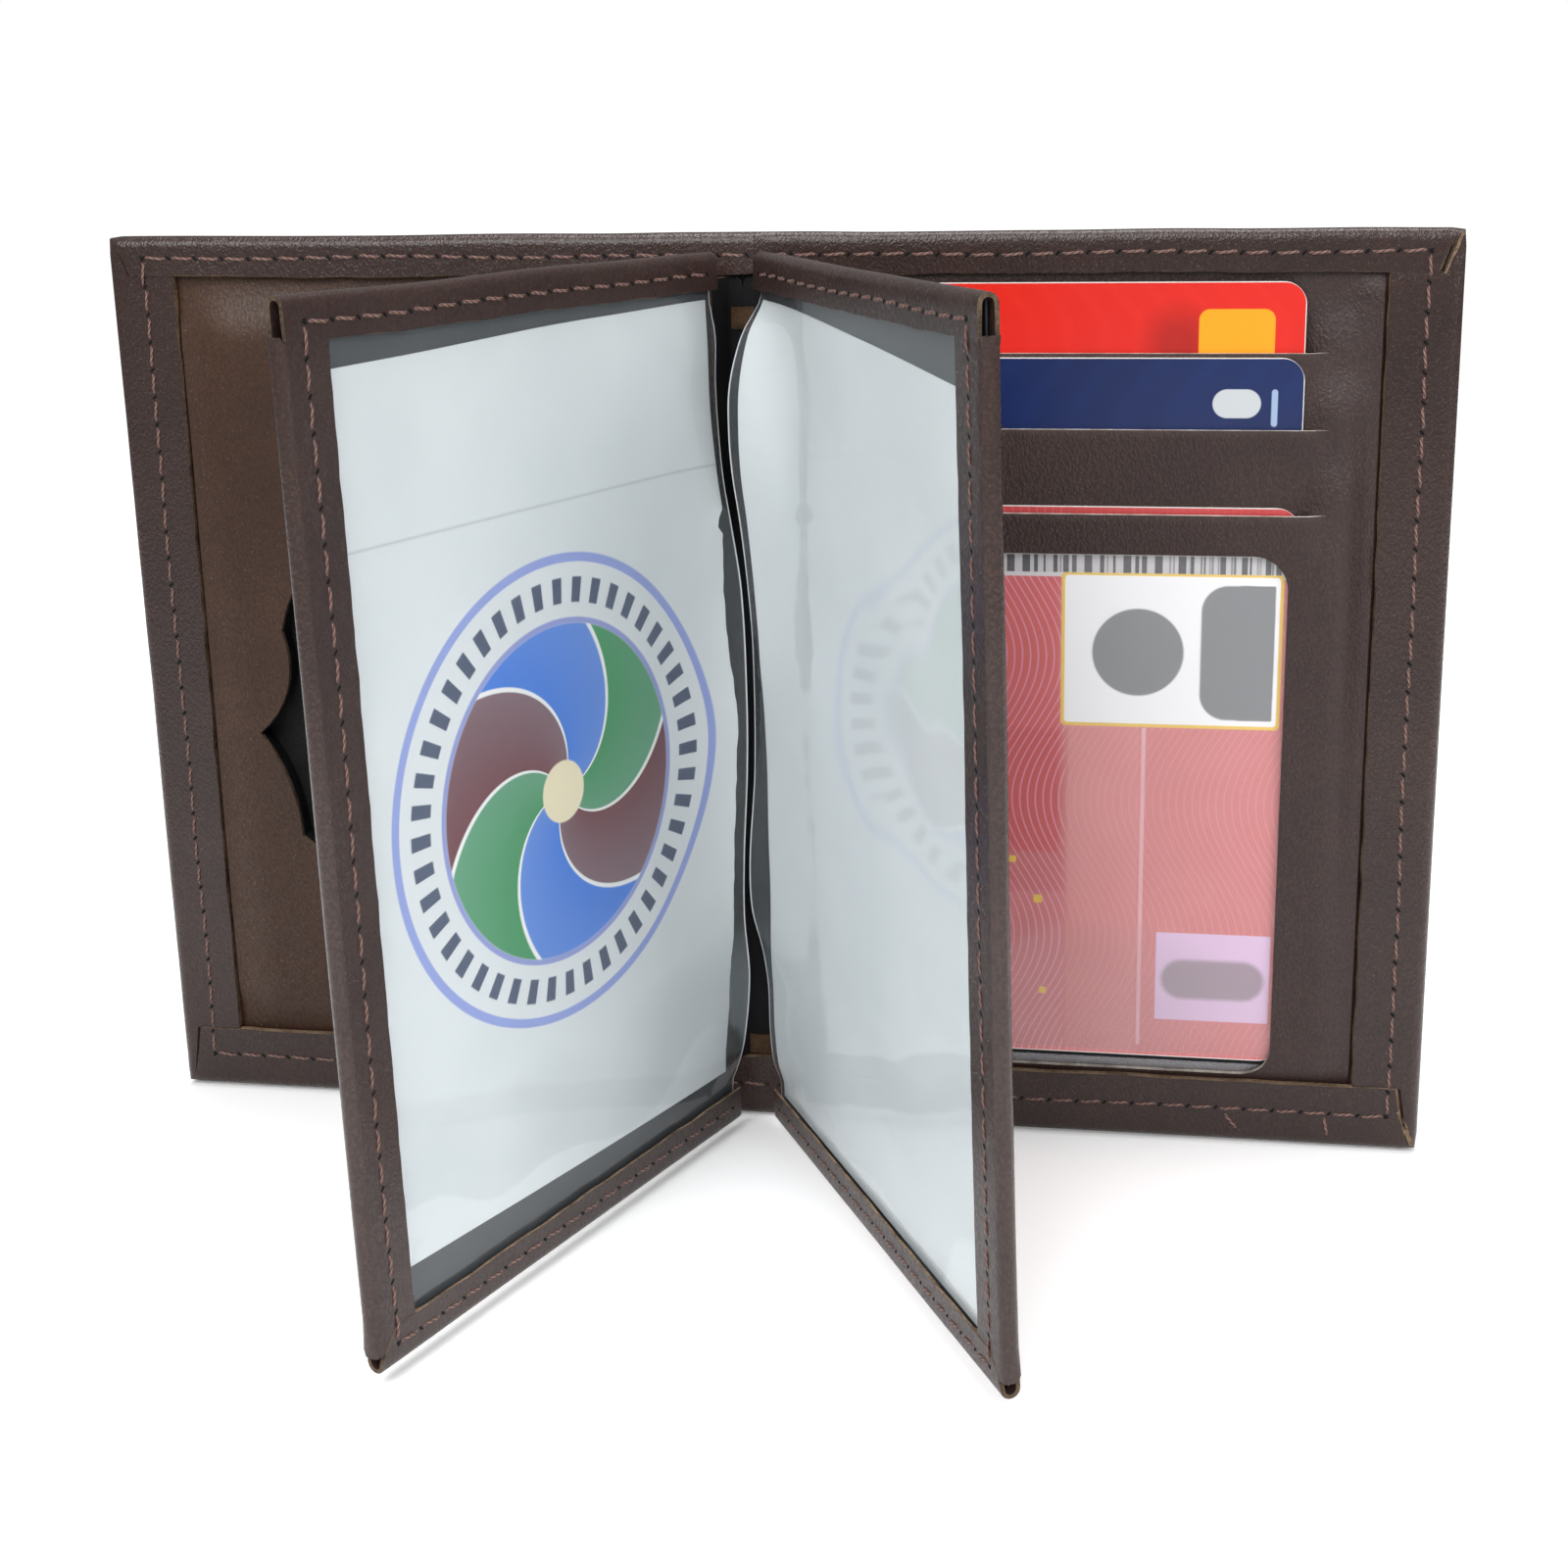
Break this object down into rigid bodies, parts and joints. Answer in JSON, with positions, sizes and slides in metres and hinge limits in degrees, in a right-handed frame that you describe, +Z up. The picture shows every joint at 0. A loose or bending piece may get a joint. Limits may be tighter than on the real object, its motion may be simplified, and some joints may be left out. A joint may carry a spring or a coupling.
{
  "type": "id badge wallet",
  "caption": "Opened leather badge wallet: folding cover with a badge recess, card slots and an id window, and a two-page credential insert on the spine.",
  "frame": {"origin": "middle of the cover's bottom edge at the spine, where the opened wallet stands", "axes": "+X across the opened cover towards the card half, +Y towards the back of the cover, +Z up the spine"},
  "size_m": [0.198, 0.0821, 0.138],
  "materials": {
    "cover_hide": "satin, fine grain",
    "facing_leather": "satin, fine grain",
    "insert_leather": "satin, fine grain",
    "suede": "napped",
    "black_lining": "matte",
    "pocket_cloth": "matte",
    "black_foam": "matte foam",
    "clear_vinyl": "clear",
    "credential_paper": "smooth",
    "red_plastic": "gloss",
    "blue_plastic": "gloss",
    "id_plastic": "gloss"
  },
  "bodies": {
    "spine": {"spine_leather": "cover_hide", "spine_lining": "black_lining", "insert_spine_strip": "insert_leather", "spine_tab_top": "suede", "spine_tab_bottom": "suede"},
    "cover_left": {"cover_leather_left": "cover_hide", "badge_floor": "black_lining", "badge_foam": "black_foam", "badge_facing": "facing_leather"},
    "cover_right": {"cover_leather_right": "cover_hide", "card_pocket_back": "pocket_cloth", "blue_pocket_liner": "pocket_cloth", "id_pocket_liner": "pocket_cloth", "card_facing": "facing_leather", "id_window_film": "clear_vinyl"},
    "red_card": {"red_card": "red_plastic"},
    "blue_card": {"blue_card": "blue_plastic"},
    "id_card": {"id_card": "id_plastic"},
    "fold_left": {"insert_fold_left": "insert_leather"},
    "fold_right": {"insert_fold_right": "insert_leather"},
    "page_left": {"page_leather_left": "insert_leather", "page_lining_left": "black_lining", "credential_left": "credential_paper", "page_film_left": "clear_vinyl"},
    "page_right": {"page_leather_right": "insert_leather", "page_lining_right": "black_lining", "credential_right": "credential_paper", "page_film_right": "clear_vinyl"}
  },
  "joints": [
    {"name": "cover_left_fold", "type": "hinge", "parent": "spine", "child": "cover_left", "pos_m": [-0.01, 0.00045, 0.069], "axis": [0, 0, 1], "range_deg": [0, 88]},
    {"name": "cover_right_fold", "type": "hinge", "parent": "spine", "child": "cover_right", "pos_m": [0.01, 0.00045, 0.069], "axis": [0, 0, -1], "range_deg": [0, 88]},
    {"name": "insert_left_fold", "type": "hinge", "parent": "spine", "child": "fold_left", "pos_m": [-0.0045, -0.0013, 0.069], "axis": [0, 0, 1], "range_deg": [0, 24.01]},
    {"name": "insert_right_fold", "type": "hinge", "parent": "spine", "child": "fold_right", "pos_m": [0.0005, -0.0013, 0.069], "axis": [0, 0, -1], "range_deg": [0, 29.01]},
    {"name": "page_left_turn", "type": "hinge", "parent": "fold_left", "child": "page_left", "pos_m": [-0.00674, -0.00523, 0.069], "axis": [0, 0, 1], "range_deg": [-64, 0]},
    {"name": "page_right_turn", "type": "hinge", "parent": "fold_right", "child": "page_right", "pos_m": [0.00308, -0.00502, 0.069], "axis": [0, 0, -1], "range_deg": [-54, 0]},
    {"name": "red_card_slide", "type": "slide", "parent": "cover_right", "child": "red_card", "axis": [0, -0.0196, 0.9998], "range_m": [0, 0.074]},
    {"name": "blue_card_slide", "type": "slide", "parent": "cover_right", "child": "blue_card", "axis": [0, -0.028, 0.9996], "range_m": [0, 0.074]},
    {"name": "id_card_slide", "type": "slide", "parent": "cover_right", "child": "id_card", "axis": [0, -0.0367, 0.9993], "range_m": [0, 0.074]}
  ],
  "couplings": [
    {"joint": "insert_left_fold", "follows": "cover_left_fold", "ratio": 0.27273},
    {"joint": "insert_right_fold", "follows": "cover_right_fold", "ratio": 0.32954}
  ]
}
